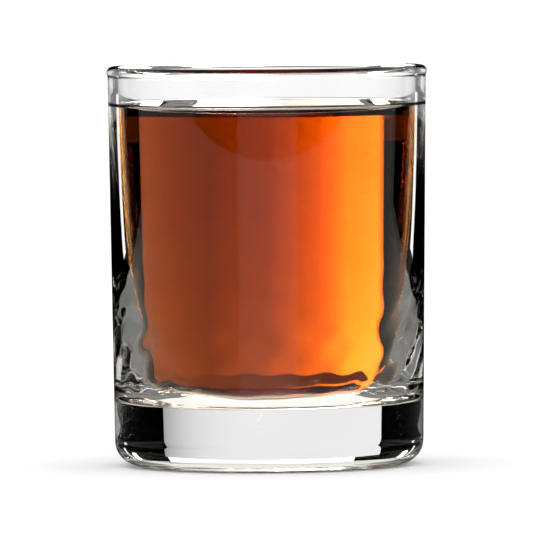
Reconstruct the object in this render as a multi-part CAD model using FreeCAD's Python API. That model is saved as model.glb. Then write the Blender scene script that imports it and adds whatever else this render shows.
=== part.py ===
"""A straight-sided rocks tumbler with a heavy solid base, poured with neat bourbon.

Two solids of revolution about +Z, in millimetres: the tumbler, pressed as one piece of clear
glass, and the bourbon, which fills the hollow up to its level and climbs the wall in a
meniscus. The origin is the centre of the foot, on the plane that the tumbler stands on.
"""
import FreeCAD
import Part

import math
import os

# Tumbler, outside
height = 104.5           # foot plane to the top of the rim
rim_radius = 42.0        # outside of the rim's bead, the widest place
bead_proud = 0.3         # how far the bead stands out from the wall under it, outside
base_radius = 40.4       # outside wall, carried down to the foot plane
corner_radius = 6.4      # rounding between the wall and the foot

# Rim, fire-polished to a round bead
bead_proud_inside = 0.2  # how far the bead stands out from the wall, inside
neck_radius = 1.6        # hollow curve between the bead and the wall, outside and inside

# Wall and hollow
wall_at_rim = 2.6
wall_at_foot = 8.0       # where the wall turns into the hollow's corner
wall_growth = 2.3        # power that the wall thickens by: nearly even above, quick near the foot
wall_stations = 9        # places that the wall's curve is drawn through
base_thickness = 16.0    # foot plane to the edge of the hollow's floor
corner_rise = 6.8        # height of the hollow's rounded corner above its floor
floor_slope = 2.5        # degrees that the dished floor falls at its edge

# Foot
punt_radius = 29.0       # the dished underside, inside the ring that the tumbler stands on
punt_depth = 0.7

# Bourbon
headspace = 12.6         # rim top down to the flat of the surface
meniscus_rise = 3.1      # how far the surface climbs the wall
contact_angle = 20.0     # degrees between the surface's edge and the wall

AXIS = FreeCAD.Vector(0, 0, 1)
ORIGIN = FreeCAD.Vector(0, 0, 0)


def at(radius, z):
    """A point of the half section, in the XZ plane."""
    return FreeCAD.Vector(radius, 0, z)


def line(start, end):
    return Part.LineSegment(start, end).toShape()


def arc(centre, radius, start_deg, end_deg):
    """An arc of the half section. Angles run anticlockwise from the outward radius."""
    points = []
    for share in (0.0, 0.5, 1.0):
        angle = math.radians(start_deg + share * (end_deg - start_deg))
        points.append(centre + at(radius * math.cos(angle), radius * math.sin(angle)))
    return Part.Arc(*points).toShape()


def ends(edge):
    """Start and end of an edge, in the direction it was drawn."""
    return edge.valueAt(edge.FirstParameter), edge.valueAt(edge.LastParameter)


def revolve(edges):
    """The solid of revolution whose half section these edges close, in order."""
    face = Part.Face(Part.Wire(edges))
    return face.revolve(ORIGIN, AXIS, 360)


# The rim's bead and the two necks that lead into it
bead_radius = (bead_proud + wall_at_rim + bead_proud_inside) / 2
bead_centre = at(rim_radius - bead_radius, height - bead_radius)
outer_wall_radius = rim_radius - bead_proud
inner_wall_radius = outer_wall_radius - wall_at_rim


def neck(wall_radius, side):
    """The hollow arc from the wall at wall_radius to the bead, as (centre, angle where the bead starts).

    side is 1 outside the wall and -1 inside it.
    """
    across = wall_radius + side * neck_radius - bead_centre.x
    reach = neck_radius + bead_radius
    drop = math.sqrt(reach ** 2 - across ** 2)
    centre = bead_centre + at(across, -drop)
    return centre, math.degrees(math.atan2(-drop, across))


outer_neck, outer_bead_angle = neck(outer_wall_radius, 1)
inner_neck, inner_bead_angle = neck(inner_wall_radius, -1)


def outer_radius(z):
    """Outside radius of the tapered wall at height z."""
    return base_radius + (outer_wall_radius - base_radius) * z / outer_neck.z


# The hollow: its wall thickens towards the foot, and a rounded corner leads into the dished floor
wall_top = inner_neck.z
wall_foot = base_thickness + corner_rise
wall_span = wall_top - wall_foot
wall_added = wall_at_foot - wall_at_rim


def inner_radius(z):
    """Inside radius of the wall at height z, between wall_foot and wall_top."""
    down = (wall_top - z) / wall_span
    thickness = wall_at_rim + wall_added * down ** wall_growth
    return outer_radius(z) - thickness


def hollow_edges():
    """The hollow's half section, from the top of its wall to the centre of its floor."""
    taper = (outer_wall_radius - base_radius) / outer_neck.z
    lean = math.atan(taper + wall_added * wall_growth / wall_span)
    slope = math.radians(floor_slope)
    turn_radius = corner_rise / (math.cos(slope) - math.sin(lean))
    foot = at(inner_radius(wall_foot), wall_foot)
    turn_centre = foot + at(-turn_radius * math.cos(lean), turn_radius * math.sin(lean))

    top = at(inner_wall_radius, wall_top)
    stations = [top]
    for i in range(1, wall_stations):
        z = wall_top - wall_span * i / (wall_stations - 1)
        stations.append(at(inner_radius(z), z))
    wall = Part.BSplineCurve()
    wall.interpolate(stations)

    turn = arc(turn_centre, turn_radius, -math.degrees(lean), -90 + floor_slope)
    floor_edge = ends(turn)[1]
    dish_radius = floor_edge.x / math.sin(slope)
    dish_centre = at(0, floor_edge.z + dish_radius * math.cos(slope))
    floor = arc(dish_centre, dish_radius, -90 + floor_slope, -90)
    return [wall.toShape(), turn, floor]


def foot_edges():
    """The outside of the foot, from the axis to the top of its rounded corner."""
    punt_curve = (punt_radius ** 2 + punt_depth ** 2) / (2 * punt_depth)
    punt_angle = math.degrees(math.asin(punt_radius / punt_curve))
    punt = arc(at(0, punt_depth - punt_curve), punt_curve, 90, 90 - punt_angle)

    taper = math.atan((outer_wall_radius - base_radius) / outer_neck.z)
    centre_radius = base_radius + corner_radius * (math.tan(taper) - 1 / math.cos(taper))
    corner = arc(at(centre_radius, corner_radius), corner_radius, -90, -math.degrees(taper))
    ring = line(ends(punt)[1], ends(corner)[0])
    return [punt, ring, corner]


def rim_edges():
    """The rim, from the top of the outside wall over the bead to the top of the inside wall."""
    outside = arc(outer_neck, neck_radius, 180, outer_bead_angle + 180)
    bead = arc(bead_centre, bead_radius, outer_bead_angle, inner_bead_angle + 360)
    inside = arc(inner_neck, neck_radius, inner_bead_angle + 180, 0)
    return [outside, bead, inside]


def tumbler():
    """The glass, one solid."""
    foot = foot_edges()
    rim = rim_edges()
    hollow = hollow_edges()
    wall = line(ends(foot[-1])[1], ends(rim[0])[0])
    axis = line(ends(hollow[-1])[1], ends(foot[0])[0])
    return revolve(foot + [wall] + rim + hollow + [axis])


def hollow_room():
    """The room inside the wall, from the floor to the top of the wall."""
    hollow = hollow_edges()
    lid = line(at(0, wall_top), ends(hollow[0])[0])
    axis = line(ends(hollow[-1])[1], at(0, wall_top))
    return revolve([lid] + hollow + [axis])


def below_surface():
    """Everything under the bourbon's surface, reaching into the wall."""
    level = height - headspace
    swing = 90 - contact_angle
    curve = meniscus_rise / (1 - math.cos(math.radians(swing)))
    edge = at(inner_radius(level + meniscus_rise), level + meniscus_rise)
    flat_radius = edge.x - curve * math.sin(math.radians(swing))
    past_wall = (90 - swing) / 2
    climb = arc(at(flat_radius, level + curve), curve, -90, -90 + swing + past_wall)
    crest = ends(climb)[1]
    flat = line(at(0, level), at(flat_radius, level))
    out = line(crest, at(rim_radius, crest.z))
    down = line(at(rim_radius, crest.z), at(rim_radius, 0))
    bottom = line(at(rim_radius, 0), ORIGIN)
    axis = line(ORIGIN, at(0, level))
    return revolve([flat, climb, out, down, bottom, axis])


def bourbon():
    """The drink, one solid against the glass all round."""
    return hollow_room().common(below_surface())


def single_solid(shape):
    """The one solid that a shape holds."""
    solids = shape.Solids
    assert len(solids) == 1, len(solids)
    return solids[0]


os.makedirs("parts", exist_ok=True)
for name, shape in (("tumbler", tumbler()), ("bourbon", bourbon())):
    solid = single_solid(shape)
    print(name, "valid", solid.isValid(), "volume", round(solid.Volume, 1))
    solid.exportStep("parts/" + name + ".step")
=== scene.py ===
import math

import bmesh
import bpy
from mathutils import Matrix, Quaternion, Vector


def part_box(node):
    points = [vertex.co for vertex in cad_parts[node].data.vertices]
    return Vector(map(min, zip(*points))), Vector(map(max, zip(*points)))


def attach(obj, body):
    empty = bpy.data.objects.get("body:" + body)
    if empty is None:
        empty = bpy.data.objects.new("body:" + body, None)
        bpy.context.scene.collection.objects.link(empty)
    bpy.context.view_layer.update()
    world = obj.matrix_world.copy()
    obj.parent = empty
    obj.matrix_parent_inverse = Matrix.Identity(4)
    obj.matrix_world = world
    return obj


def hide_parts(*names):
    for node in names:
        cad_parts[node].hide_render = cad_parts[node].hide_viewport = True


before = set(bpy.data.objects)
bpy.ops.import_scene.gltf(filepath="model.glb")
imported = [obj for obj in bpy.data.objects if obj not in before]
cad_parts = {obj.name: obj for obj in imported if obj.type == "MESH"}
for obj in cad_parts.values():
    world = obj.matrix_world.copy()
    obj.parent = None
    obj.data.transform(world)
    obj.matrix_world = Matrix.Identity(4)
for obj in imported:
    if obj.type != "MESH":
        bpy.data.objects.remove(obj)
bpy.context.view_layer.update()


# ---------------------------------------------------------------------------------------------
# The tumbler: one piece of clear soda-lime glass, pressed with a thick solid base, its hollow's
# wall thickening into a rounded corner. The rim is fire-polished, which draws it up into a bead.

MM = 0.001

rim_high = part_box("tumbler")[1]
contact_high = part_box("bourbon")[1]
rim_radius = rim_high[0] / MM
height = rim_high[2] / MM

bead_proud = 0.3
bead_proud_inside = 0.2
neck_radius = 1.6
wall_at_rim = 2.6
wall_at_foot = 8.0
wall_growth = 2.3
base_radius = 40.4
base_thickness = 16.0
outer_corner = 6.4
inner_corner_rise = 6.8
floor_slope = math.radians(2.5)
punt_radius = 29.0
punt_depth = 0.7


def arc(centre, radius, start, end, steps):
    """Points of an arc in the half section, start and end in radians from the outward radius."""
    points = []
    for i in range(steps + 1):
        angle = start + (end - start) * i / steps
        points.append((centre[0] + radius * math.cos(angle), centre[1] + radius * math.sin(angle)))
    return points


bead_radius = (bead_proud + wall_at_rim + bead_proud_inside) / 2
bead_centre = (rim_radius - bead_radius, height - bead_radius)
outer_wall = rim_radius - bead_proud
inner_wall = outer_wall - wall_at_rim


def neck(wall_radius, side):
    """Centre of the hollow curve that leads from a wall into the bead, and the angle it meets at."""
    across = wall_radius + side * neck_radius - bead_centre[0]
    drop = math.sqrt((neck_radius + bead_radius) ** 2 - across ** 2)
    return (bead_centre[0] + across, bead_centre[1] - drop), math.atan2(-drop, across)


outer_neck, outer_meet = neck(outer_wall, 1)
inner_neck, inner_meet = neck(inner_wall, -1)
wall_top = inner_neck[1]
wall_foot = base_thickness + inner_corner_rise
wall_span = wall_top - wall_foot


def outer_radius(z):
    return base_radius + (outer_wall - base_radius) * z / outer_neck[1]


def inner_radius(z):
    """The hollow's radius: nearly straight above, and drawing in ever faster towards the foot."""
    down = max(0.0, (wall_top - z) / wall_span)
    return outer_radius(z) - wall_at_rim - (wall_at_foot - wall_at_rim) * down ** wall_growth


def hollow_outline(inset=0.0, top=wall_top, wall_steps=60):
    """The hollow's half section from the top of its wall to the centre of its floor.

    inset moves it into the hollow, and a negative inset moves it into the glass.
    """
    lean = math.atan((outer_wall - base_radius) / outer_neck[1]
                     + (wall_at_foot - wall_at_rim) * wall_growth / wall_span)
    turn = inner_corner_rise / (math.cos(floor_slope) - math.sin(lean))
    foot = inner_radius(wall_foot)
    centre = (foot - turn * math.cos(lean), wall_foot + turn * math.sin(lean))
    points = []
    for i in range(wall_steps):
        z = top + (wall_foot - top) * i / wall_steps
        points.append((inner_radius(z) - inset, z))
    points += arc(centre, turn - inset, -lean, floor_slope - math.pi / 2, 24)
    edge = centre[0] + turn * math.sin(floor_slope)
    edge_z = centre[1] - turn * math.cos(floor_slope)
    dish = edge / math.sin(floor_slope)
    dish_centre = (0.0, edge_z + dish * math.cos(floor_slope))
    points += arc(dish_centre, dish - inset, floor_slope - math.pi / 2, -math.pi / 2, 12)[1:]
    return points


def lathe(name, outline, around=288, stir=None):
    """A mesh turned about Z from a half section in millimetres, which starts or ends on the axis.

    stir(angle, radius, z) gives what a point moves by, outwards and up.
    """
    mesh = bmesh.new()
    rings = []
    for radius, z in outline:
        if radius < 1e-6:
            rings.append([mesh.verts.new((0.0, 0.0, z * MM))])
            continue
        ring = []
        for i in range(around):
            angle = 2 * math.pi * i / around
            out, up = stir(angle, radius, z) if stir else (0.0, 0.0)
            r = (radius + out) * MM
            ring.append(mesh.verts.new((r * math.cos(angle), r * math.sin(angle), (z + up) * MM)))
        rings.append(ring)
    closed = len(rings[0]) > 1 and len(rings[-1]) > 1
    pairs = list(zip(rings, rings[1:])) + ([(rings[-1], rings[0])] if closed else [])
    for one, two in pairs:
        for i in range(around):
            j = (i + 1) % around
            corners = [one[i % len(one)], one[j % len(one)], two[j % len(two)], two[i % len(two)]]
            unique = []
            for corner in corners:
                if corner not in unique:
                    unique.append(corner)
            if len(unique) > 2:
                mesh.faces.new(unique)
    bmesh.ops.recalc_face_normals(mesh, faces=mesh.faces)
    data = bpy.data.meshes.new(name)
    mesh.to_mesh(data)
    mesh.free()
    data.shade_smooth()
    piece = bpy.data.objects.new(name, data)
    bpy.context.scene.collection.objects.link(piece)
    return piece


def linear(text):
    """An sRGB hex colour as linear RGBA."""
    values = []
    for i in (1, 3, 5):
        v = int(text[i:i + 2], 16) / 255
        values.append(v / 12.92 if v <= 0.04045 else ((v + 0.055) / 1.055) ** 2.4)
    return (*values, 1.0)


def node(tree, kind, settings=None, **links):
    """Adds a node. settings sets properties and socket values; links feed sockets by name."""
    made = tree.nodes.new(kind)
    for key, value in (settings or {}).items():
        if key in made.inputs:
            made.inputs[key].default_value = value
        else:
            setattr(made, key, value)
    for key, source in links.items():
        tree.links.new(source, made.inputs[key.replace("_", " ")])
    return made


def material(name):
    """A new material's node tree, emptied, with its output."""
    made = bpy.data.materials.new(name)
    made.use_nodes = True
    made.node_tree.nodes.clear()
    return made, made.node_tree, made.node_tree.nodes.new("ShaderNodeOutputMaterial")


ripple_top = 62
ripple_fade = 30
outer_skin = 0.8


def plunger_ripple(angle, radius, z):
    """How far the hollow's surface strays from true near its foot, outwards and up."""
    if radius > base_radius - outer_skin or z < base_thickness / 2 or z > ripple_top:
        return 0.0, 0.0
    low = max(0.0, min(1.0, (ripple_top - z) / ripple_fade)) ** 2
    wave = (0.10 * math.sin(5 * angle + 0.9) + 0.07 * math.sin(11 * angle + 0.24 * z)
            + 0.05 * math.sin(23 * angle - 0.55 * z) + 0.03 * math.sin(0.9 * z + 3 * angle))
    out = low * wave * min(1.0, radius / 30)
    floor_share = max(0.0, min(1.0, (20 - z) / 4))
    swirl = (0.05 * math.sin(0.55 * radius + 2 * angle) + 0.04 * math.sin(0.9 * radius - 5 * angle)
             + 0.03 * math.sin(9 * angle + 0.3 * radius) * min(1.0, radius / 12))
    return out * (1 - floor_share), floor_share * swirl * min(1.0, radius / 6)


taper = math.atan((outer_wall - base_radius) / outer_neck[1])
corner_centre = (base_radius + outer_corner * (math.tan(taper) - 1 / math.cos(taper)), outer_corner)
punt_curve = (punt_radius ** 2 + punt_depth ** 2) / (2 * punt_depth)
punt_angle = math.asin(punt_radius / punt_curve)

outline = arc((0, punt_depth - punt_curve), punt_curve, math.pi / 2, math.pi / 2 - punt_angle, 12)
outline += arc(corner_centre, outer_corner, -math.pi / 2, -taper, 24)
for i in range(1, 40):
    z = corner_centre[1] + (outer_neck[1] - corner_centre[1]) * i / 40
    outline.append((outer_radius(z), z))
outline += arc(outer_neck, neck_radius, math.pi, outer_meet + math.pi, 8)
outline += arc(bead_centre, bead_radius, outer_meet, inner_meet + 2 * math.pi, 32)[1:]
outline += arc(inner_neck, neck_radius, inner_meet + math.pi, 0.0, 8)[1:]
outline += hollow_outline()[1:]

tumbler = lathe("tumbler_glass", outline, stir=plunger_ripple)


def ripples(tree, wavelength, height):
    """A bump from smooth noise, with its wavelength and height in millimetres."""
    place = node(tree, "ShaderNodeTexCoord")
    noise = node(tree, "ShaderNodeTexNoise", {"Scale": 1 / (wavelength * MM), "Detail": 1.0},
                 Vector=place.outputs["Object"])
    return node(tree, "ShaderNodeBump", {"Strength": 1.0, "Distance": height * MM},
                Height=noise.outputs["Fac"])


def mottle(tree, wavelength, first, second):
    """A soft change between two values or colours, with its wavelength in millimetres."""
    place = node(tree, "ShaderNodeTexCoord")
    noise = node(tree, "ShaderNodeTexNoise", {"Scale": 1 / (wavelength * MM), "Detail": 2.0},
                 Vector=place.outputs["Object"])
    ramp = node(tree, "ShaderNodeValToRGB", Fac=noise.outputs["Fac"])
    ramp.color_ramp.elements[0].position = 0.4
    ramp.color_ramp.elements[0].color = first
    ramp.color_ramp.elements[1].position = 0.62
    ramp.color_ramp.elements[1].color = second
    return ramp.outputs["Color"]


# Soda-lime glass, pressed and fire-polished: IOR 1.52. It has the faintest cast of green, waves of a few
# microns from the mould that soften what is seen through it, and the dull touch of a wiped glass.
glass, tree, out = material("soda_lime_glass")
cast = mottle(tree, 26.0, linear("#FFFFFF"), linear("#FEFFFE"))
wiped = mottle(tree, 9.0, (0.0, 0.0, 0.0, 1.0), (0.012, 0.012, 0.012, 1.0))
waves = ripples(tree, 14.0, 0.006)
body = node(tree, "ShaderNodeBsdfPrincipled", {"IOR": 1.52, "Transmission Weight": 1.0},
            **{"Base Color": cast, "Roughness": wiped, "Normal": waves.outputs["Normal"]})
tree.links.new(body.outputs[0], out.inputs["Surface"])
tumbler.data.materials.append(glass)
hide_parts("tumbler")
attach(tumbler, "root")


# ---------------------------------------------------------------------------------------------
# The bourbon: still and clear, filled to 13 mm below the rim, where it climbs the wall in a meniscus.
# It is two pieces: the drink, which stops short of the wall except at its top, and a film of the same
# colour that fills the step out to the glass. The film's IOR is 1.0, so light bends there as at a gap.

headspace = 12.6
meniscus_rise = contact_high[2] / MM - (height - headspace)
film = 0.7
into_wall = 0.12
into_body = 0.03
lip = 0.6
lip_rise = 0.02
level = height - headspace


def surface_outline(edge_radius):
    """The free surface from the axis to its edge: flat, then climbing the wall."""
    swing = math.radians(70)
    curve = meniscus_rise / (1 - math.cos(swing))
    flat = edge_radius - curve * math.sin(swing)
    points = [(flat * i / 12, level) for i in range(12)]
    return points + arc((flat, level + curve), curve, -math.pi / 2, -math.pi / 2 + swing, 28)


contact = level + meniscus_rise
flare = 2.0
core_outline = surface_outline(inner_radius(contact))
core_outline.append((inner_radius(contact) + into_wall, contact + lip_rise))
core_outline.append((inner_radius(contact - lip) + into_wall, contact - lip))
core_outline += hollow_outline(film, top=contact - flare)
core = lathe("bourbon_body", core_outline, stir=plunger_ripple)

film_outline = hollow_outline(-into_wall, top=contact - lip)
film_outline += hollow_outline(film + into_body, top=contact - flare)[::-1]
film_piece = lathe("bourbon_at_wall", film_outline, stir=plunger_ripple)


# Cask-aged spirit: IOR 1.36, clear and still. Each centimetre lets through four fifths of the red, over
# half of the green and a third of the blue, so thin parts look straw yellow and deep parts brown-red. The
# film has the same colour and an IOR of 1.0, so it doesn't bend light: that is left to glass and body.
def drink(name, ior):
    """A clear drink that soaks up colour along the light's way through it."""
    made, tree, out = material(name)
    haze = mottle(tree, 12.0, linear("#FFFFFF"), linear("#FFFCF6"))
    still = ripples(tree, 17.0, 0.004)
    body = node(tree, "ShaderNodeBsdfPrincipled", {"Roughness": 0.0, "IOR": ior, "Transmission Weight": 1.0},
                **{"Base Color": haze, "Normal": still.outputs["Normal"]})
    tree.links.new(body.outputs[0], out.inputs["Surface"])
    soak = node(tree, "ShaderNodeVolumeAbsorption", {"Color": (0.785, 0.51, 0.0, 1.0), "Density": 110.0})
    tree.links.new(soak.outputs[0], out.inputs["Volume"])
    return made


core.data.materials.append(drink("bourbon", 1.36))
film_piece.data.materials.append(drink("bourbon_skin", 1.0))
for piece in (core, film_piece):
    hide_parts("bourbon")
    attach(piece, "root")


# ---------------------------------------------------------------------------------------------
# The camera: a long lens a little above the glass, looking level across the drink.

look = Vector((-0.0004, 0.0, 0.0518))
elevation = math.radians(2.5)
tilt = math.radians(-0.42)
distance = 2.7
span = 0.1398

camera_data = bpy.data.cameras.new("camera")
camera = bpy.data.objects.new("camera", camera_data)
bpy.context.scene.collection.objects.link(camera)
bpy.context.scene.camera = camera
camera_data.sensor_width = 36.0
camera_data.lens = camera_data.sensor_width * distance / span
camera_data.clip_start = 0.01
camera_data.clip_end = 50
camera.location = look + Vector((0, -distance * math.cos(elevation), distance * math.sin(elevation)))
aim = (look - camera.location).to_track_quat("-Z", "Y")
camera.rotation_euler = (aim @ Quaternion((0, 0, 1), tilt)).to_euler()


# ---------------------------------------------------------------------------------------------
# The set: a white sweep under plain white light. Behind the glass stand a tall strip softbox, a fill
# panel beside it and black flags, and in front one more flag. Every board stands still.


def board(name, left, right, bottom, top, depth, flat=False):
    """A flat board in millimetres: upright and facing the front at a depth behind the glass, or flat."""
    mesh = bmesh.new()
    layer = mesh.loops.layers.uv.new("UVMap")
    corners = []
    for x, z in ((left, bottom), (right, bottom), (right, top), (left, top)):
        place = (x, z, depth) if flat else (x, depth, z)
        corners.append(mesh.verts.new([value * MM for value in place]))
    face = mesh.faces.new(corners)
    for loop, corner in zip(face.loops, ((0, 0), (1, 0), (1, 1), (0, 1))):
        loop[layer].uv = corner
    data = bpy.data.meshes.new(name)
    mesh.to_mesh(data)
    mesh.free()
    made = bpy.data.objects.new(name, data)
    bpy.context.scene.collection.objects.link(made)
    return made


def grey(value):
    return (value, value, value, 1)


floor = board("floor", -6000, 6000, -6000, 6000, -0.2, flat=True)
sweep, tree, out = material("white_sweep")
body = node(tree, "ShaderNodeBsdfPrincipled", {"Base Color": grey(0.92), "Roughness": 0.6})
tree.links.new(body.outputs[0], out.inputs["Surface"])
floor.data.materials.append(sweep)
floor.visible_glossy = False
floor.visible_transmission = False


def card(name, left, right, bottom, top, depth, light, flat=False, glossy=False):
    """A board lit plain white, seen only through glass and drink, or only in reflection if glossy.

    light is one strength, 0 for a black flag, or (place, strength) stops for a light with a soft edge.
    """
    made = board(name, left, right, bottom, top, depth, flat)
    made.visible_camera = False
    made.visible_diffuse = False
    made.visible_shadow = False
    made.visible_glossy = glossy
    made.visible_transmission = not glossy
    paint, tree, out = material(name)
    stops = light if isinstance(light, list) else [(left, light), (right, light)]
    most = max(strength for place, strength in stops) or 1.0
    place_on = node(tree, "ShaderNodeTexCoord")
    across = node(tree, "ShaderNodeSeparateXYZ", Vector=place_on.outputs["UV"])
    ramp = node(tree, "ShaderNodeValToRGB", Fac=across.outputs["X"])
    while len(ramp.color_ramp.elements) < len(stops):
        ramp.color_ramp.elements.new(0.5)
    for element, (place, strength) in zip(ramp.color_ramp.elements, stops):
        element.position = (place - left) / (right - left)
        element.color = grey(strength / most)
    glow = node(tree, "ShaderNodeEmission", {"Strength": most}, Color=ramp.outputs["Color"])
    tree.links.new(glow.outputs[0], out.inputs["Surface"])
    made.data.materials.append(paint)
    return made


# Depths behind the glass in millimetres, and before it where they are negative. The strip and the fill
# light the drink, the foot card the thick base, and the flags keep the edges of the glass dark.
near = 100
far = 400
card("strip_softbox", -21, 5, 13, 90, near, [
    (-21, 3.0), (-18, 15.0), (-8, 15.0), (-4, 6.0), (0, 2.2), (5, 1.1)])
card("fill_panel", 5, 29, 13, 90, near, [(5, 1.2), (29, 1.9)])
card("foot_card", -6.6, 5.1, -0.1, 19, 60, [(-6.6, 0.95), (0, 0.9), (5.1, 0.4)])
card("side_strip_left", -40, -32, 26, 92, 70, 24.0)
card("side_strip_right", 32, 38, 26, 92, 70, 16.0)
card("edge_light_left", -124, -108, 24, 92, near, 1.4)
card("edge_light_right", 108, 124, 24, 92, near, 1.4)
card("back_panel", -215, 215, 81, 600, far, 1.12)
card("table_card", -32, 32, -32, 32, -0.1, 1.1, flat=True)
card("table_card_behind", -60, 60, 50, 99, -0.1, 1.0, flat=True)
card("top_light", -80, 80, -80, 80, 260, 3.0, flat=True)
card("front_softbox", -150, 150, -20, 320, -far, 0.3, glossy=True)
for name, left, right in (("flag_left", -400, -33), ("flag_right", 33, 400)):
    card(name, left, right, -0.1, 81, 130, 0.0)
card("flag_front", -900, 900, -0.1, 1200, -600, 0.0)

# The room is bright to the lens and to the floor, dim through the glass, and dark in its reflections.
world = bpy.data.worlds.new("studio")
bpy.context.scene.world = world
world.use_nodes = True
tree = world.node_tree
tree.nodes.clear()
out = tree.nodes.new("ShaderNodeOutputWorld")
ray = node(tree, "ShaderNodeLightPath")
bright = node(tree, "ShaderNodeBackground", {"Color": grey(1), "Strength": 1.6})
dim = node(tree, "ShaderNodeBackground", {"Color": grey(1), "Strength": 0.25})
dark = node(tree, "ShaderNodeBackground", {"Color": grey(1), "Strength": 0.0})
seen = node(tree, "ShaderNodeMath", {"operation": "MAXIMUM"})
tree.links.new(ray.outputs["Is Camera Ray"], seen.inputs[0])
tree.links.new(ray.outputs["Is Diffuse Ray"], seen.inputs[1])
through = tree.nodes.new("ShaderNodeMixShader")
tree.links.new(ray.outputs["Is Transmission Ray"], through.inputs[0])
tree.links.new(dark.outputs[0], through.inputs[1])
tree.links.new(dim.outputs[0], through.inputs[2])
pick = tree.nodes.new("ShaderNodeMixShader")
tree.links.new(seen.outputs[0], pick.inputs[0])
tree.links.new(through.outputs[0], pick.inputs[1])
tree.links.new(bright.outputs[0], pick.inputs[2])
tree.links.new(pick.outputs[0], out.inputs["Surface"])

scene = bpy.context.scene
scene.view_settings.view_transform = "Standard"
scene.cycles.max_bounces = 32
scene.cycles.transmission_bounces = 32
scene.cycles.transparent_max_bounces = 32
scene.cycles.glossy_bounces = 16
scene.cycles.sample_clamp_indirect = 10.0
